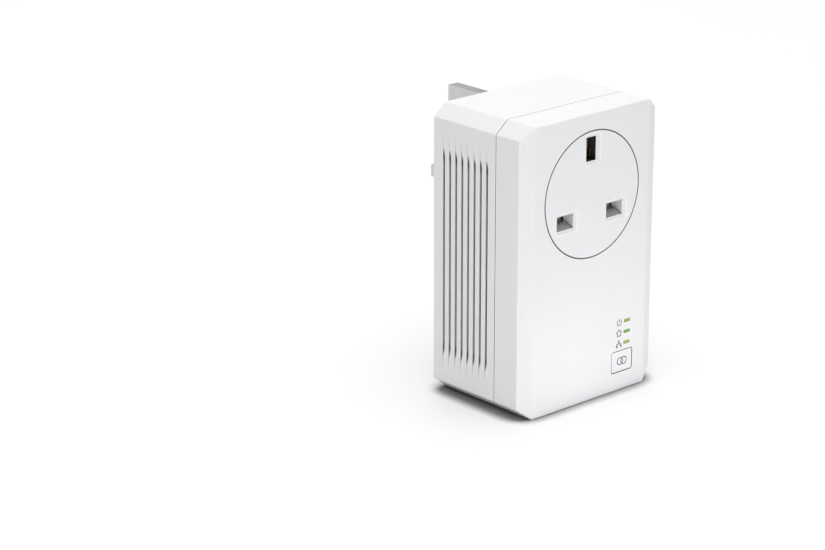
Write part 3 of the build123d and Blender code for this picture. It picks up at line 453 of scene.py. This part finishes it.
def component_materials():
    """Finishes of the electronic parts that need more than a plain moulding."""
    return {
        "steel": metal(
            "zinc_steel", (0.56, 0.57, 0.59), (0.34, 0.34, 0.35), (0.22, 0.4), brushing=(1, 1, 1)
        ),
        "aluminium": metal(
            "anodised_fins",
            (0.70, 0.71, 0.72),
            (0.52, 0.53, 0.54),
            (0.3, 0.48),
            brushing=(1, 1, 0.03),
        ),
        "chip_black": moulded(
            "chip_epoxy",
            BLACK,
            (0.03, 0.03, 0.032),
            (0.5, 0.7),
            grain=0.08 * MM,
            depth=0.006 * MM,
        ),
        "ferrite": moulded(
            "sintered_ferrite",
            (0.045, 0.043, 0.042),
            (0.075, 0.07, 0.066),
            (0.55, 0.8),
            grain=0.2 * MM,
            depth=0.02 * MM,
        ),
        "sleeve_black": moulded(
            "shrink_sleeve",
            (0.022, 0.024, 0.03),
            (0.035, 0.037, 0.045),
            (0.2, 0.34),
            peel=0.01 * MM,
        ),
        "disc_blue": moulded(
            "dipped_epoxy",
            (0.03, 0.11, 0.32),
            (0.05, 0.15, 0.38),
            (0.14, 0.28),
            peel=0.05 * MM,
        ),
        "tape_yellow": banded(
            "wrapped_tape",
            (0.80, 0.58, 0.06),
            (0.52, 0.36, 0.03),
            "Y",
            2.4 * MM,
            (0.2, 0.4),
            0.06 * MM,
        ),
        "copper": banded(
            "enamelled_wire",
            (0.62, 0.25, 0.09),
            (0.26, 0.08, 0.02),
            "DIAGONAL",
            0.6 * MM,
            (0.18, 0.35),
            0.06 * MM,
            Metallic=0.6,
            Coat_Weight=0.5,
        ),
    }


def slot_materials():
    """One finish for each of the record's material slots."""
    materials = {slot: moulded(*look) for slot, look in PLASTICS.items()}
    materials.update({slot: metal(*look) for slot, look in METALS.items()})
    materials.update(case_materials())
    materials.update(component_materials())
    materials["window_green"] = light_window()
    materials["board_green"] = circuit_board()
    materials["film_clear"] = clear_film()
    return materials


def dress_nodes(materials):
    """Give every carried-over node the finish of its own slot."""
    for cad_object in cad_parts.values():
        for index, old in enumerate(cad_object.data.materials):
            cad_object.data.materials[index] = materials[old.name]


# ======== new pieces ========


def mesh_object(name, mesh_maker, material):
    """Object from a function that fills a bmesh."""
    shape = bmesh.new()
    mesh_maker(shape)
    bmesh.ops.recalc_face_normals(shape, faces=shape.faces)
    mesh = bpy.data.meshes.new(name)
    shape.to_mesh(mesh)
    shape.free()
    mesh.materials.append(material)
    piece = bpy.data.objects.new(name, mesh)
    bpy.context.scene.collection.objects.link(piece)
    return piece


def ribbon(shape, line, width, top, bottom, closed=False):
    """Closed strip of even width along a line of (x, z) points, between two depths."""
    points = [Vector(p) for p in line]
    count = len(points)
    rings = []
    for i, point in enumerate(points):
        before = points[i - 1] if closed or i > 0 else point
        after = points[(i + 1) % count] if closed or i < count - 1 else point
        first = (point - before).normalized() if point != before else (after - point).normalized()
        second = (after - point).normalized() if after != point else first
        middle = (first + second).normalized()
        side = Vector((-middle.y, middle.x))
        reach = width / 2 / max(MITRE_LIMIT, middle.dot(second))
        left, right = point + side * reach, point - side * reach
        corners = ((left, top), (right, top), (right, bottom), (left, bottom))
        rings.append([shape.verts.new((p.x, y, p.y)) for p, y in corners])
    for i in range(count if closed else count - 1):
        here, there = rings[i], rings[(i + 1) % count]
        for k in range(4):
            shape.faces.new((here[k], here[(k + 1) % 4], there[(k + 1) % 4], there[k]))
    if not closed:
        shape.faces.new(rings[0])
        shape.faces.new(reversed(rings[-1]))


def arc(centre, radius, start, end, steps):
    """Points (x, z) along an arc, angles in degrees from +X towards +Z."""
    x, z = centre
    turns = [radians(start + (end - start) * i / steps) for i in range(steps + 1)]
    return [(x + radius * cos(a), z + radius * sin(a)) for a in turns]


def face_ring(shape):
    """Grey line laid in the round groove about the apertures."""
    line = arc(RING_CENTRE, RING_RADIUS, 0, 360, RING_STEPS)[:-1]
    ribbon(shape, line, RING_WIDTH, FRONT + RING_TOP, FRONT + RING_BOTTOM, closed=True)


def icon_line(shape, row, line, width=ICON_LINE):
    """Ink line of an icon beside one of the lights, drawn about the icon's middle."""
    points = [(ICON_X + u * ICON_UNIT, LED_ROWS[row] + v * ICON_UNIT) for u, v in line]
    ribbon(shape, points, width, FRONT + PRINT_TOP, FRONT + PRINT_BOTTOM)


def power_icon(shape):
    """Broken ring with a bar through the gap."""
    icon_line(shape, 0, arc((0, -0.08), 0.82, 125, 415, 30))
    icon_line(shape, 0, [(0, 1.02), (0, 0.05)])


def home_icon(shape):
    """Outline of a house."""
    icon_line(shape, 1, [(-1.08, 0.05), (0, 0.98), (1.08, 0.05)])
    icon_line(shape, 1, [(-0.66, 0.12), (-0.66, -0.86), (0.66, -0.86), (0.66, 0.12)])


def network_icon(shape):
    """One box above two, joined by a branching line."""
    half = 0.30
    for u, v in ((0, 0.72), (-0.78, -0.72), (0.78, -0.72)):
        icon_line(shape, 2, [(u - half, v), (u + half, v)], 2 * half * ICON_UNIT)
    icon_line(shape, 2, [(-0.78, -0.44), (-0.78, 0), (0.78, 0), (0.78, -0.44)])
    icon_line(shape, 2, [(0, 0.44), (0, 0)])


def button_mark(shape):
    """Two linked rings, for joining one unit to another."""
    low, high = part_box("pair_button")
    x, z = (low.x + high.x) / 2, (low.z + high.z) / 2
    for side in (-1, 1):
        centre = (x + side * MARK_SPREAD, z)
        ribbon(
            shape,
            arc(centre, MARK_RADIUS, 0, 360, MARK_STEPS)[:-1],
            MARK_LINE,
            low.y + PRINT_TOP,
            low.y + PRINT_BOTTOM,
            closed=True,
        )


def spring_coil(shape):
    """Compression spring with a closed turn at each end."""
    low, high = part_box("shutter_spring")
    x, y = (low.x + high.x) / 2, (low.y + high.y) / 2
    radius = (high.x - low.x) / 2 - WIRE_RADIUS
    start, end = low.z + WIRE_RADIUS, high.z - WIRE_RADIUS
    pitch = (end - start - 2 * COIL_CLOSED_RISE) / COIL_OPEN_TURNS
    total = (COIL_OPEN_TURNS + 2) * COIL_STEPS
    rings = []
    for i in range(total + 1):
        turn = i / COIL_STEPS
        rise = min(turn, 1) * COIL_CLOSED_RISE
        rise += min(max(turn - 1, 0), COIL_OPEN_TURNS) * pitch
        rise += max(turn - 1 - COIL_OPEN_TURNS, 0) * COIL_CLOSED_RISE
        outward = Vector((cos(2 * pi * turn), sin(2 * pi * turn), 0))
        centre = Vector((x, y, start + rise)) + outward * radius
        ring = []
        for k in range(COIL_SIDES):
            a = 2 * pi * k / COIL_SIDES
            offset = outward * cos(a) + Vector((0, 0, sin(a)))
            ring.append(shape.verts.new(centre + offset * WIRE_RADIUS))
        rings.append(ring)
    for here, there in zip(rings, rings[1:]):
        for k in range(COIL_SIDES):
            after = (k + 1) % COIL_SIDES
            shape.faces.new((here[k], here[after], there[after], there[k]))
    shape.faces.new(rings[0])
    shape.faces.new(reversed(rings[-1]))


def build_pieces(materials):
    ink = printed_ink()
    for name, maker in (
        ("face_ring", face_ring),
        ("power_icon", power_icon),
        ("home_icon", home_icon),
        ("network_icon", network_icon),
    ):
        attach(mesh_object(name, maker, ink), "housing")
    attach(mesh_object("button_mark", button_mark, ink), "button")

    coil = mesh_object("spring_coil", spring_coil, materials["steel"])
    for polygon in coil.data.polygons:
        polygon.use_smooth = True
    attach(coil, "housing")
    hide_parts("shutter_spring")
    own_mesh(coil)


# ======== stage ========


def build_floor():
    """Pale floor with a painted contact shadow, grey in the crease where the object stands on it.
    """
    material, tree, shader = start_material("studio_floor", Roughness=0.8)
    place = surface_position(tree)
    cloud = noise(tree, place, FLOOR_CLOUD, 2.0)
    pale = blend_colours(tree, spread(tree, cloud, 0, 1), (0.93, 0.93, 0.93), (0.92, 0.92, 0.925))
    # painted contact shadow: grey where the object shuts out the sky
    crease = add_node(tree, "ShaderNodeAmbientOcclusion", Distance=CONTACT_SHADOW_REACH)
    crease.samples = CREVICE_SAMPLES
    openness = spread(tree, crease.outputs["AO"], 0, 1, CREASE_SHUT, CREASE_OPEN)
    link(tree, blend_colours(tree, openness, CONTACT_SHADOW_GREY, pale), shader.inputs["Base Color"])

    def plane(shape):
        signs = ((-1, -1), (1, -1), (1, 1), (-1, 1))
        corners = [(FLOOR_HALF * u, FLOOR_HALF * v, 0) for u, v in signs]
        shape.faces.new([shape.verts.new(c) for c in corners])

    mesh_object("floor", plane, material)


def soft_light(name, place, target, size, power):
    light = bpy.data.lights.new(name, "AREA")
    light.shape = "RECTANGLE"
    light.size, light.size_y = size
    light.energy = power
    holder = bpy.data.objects.new(name, light)
    direction = Vector(target) - Vector(place)
    holder.matrix_world = (
        Matrix.Translation(Vector(place)) @ direction.to_track_quat("-Z", "Y").to_matrix().to_4x4()
    )
    bpy.context.scene.collection.objects.link(holder)


def build_lights():
    world = bpy.data.worlds.new("studio")
    bpy.context.scene.world = world
    world.use_nodes = True
    sky = world.node_tree.nodes["Background"]
    sky.inputs["Color"].default_value = (0.99, 0.995, 1.0, 1.0)
    sky.inputs["Strength"].default_value = SKY
    for name, place, target, size, power in LIGHTS:
        soft_light(name, place, target, size, power)


def build_camera():
    camera = bpy.data.cameras.new("camera")
    camera.lens = CAMERA_LENS
    camera.sensor_width = SENSOR
    camera.sensor_fit = "HORIZONTAL"
    camera.clip_start = 0.01
    holder = bpy.data.objects.new("camera", camera)
    backward = CAMERA_RIGHT.cross(CAMERA_UP)
    turn = Matrix((CAMERA_RIGHT, CAMERA_UP, backward)).transposed()
    holder.matrix_world = Matrix.Translation(CAMERA_PLACE) @ turn.to_4x4()
    bpy.context.scene.collection.objects.link(holder)
    bpy.context.scene.camera = holder


materials = slot_materials()
dress_nodes(materials)
build_pieces(materials)
build_floor()
build_lights()
build_camera()
bpy.context.scene.view_settings.view_transform = "Standard"
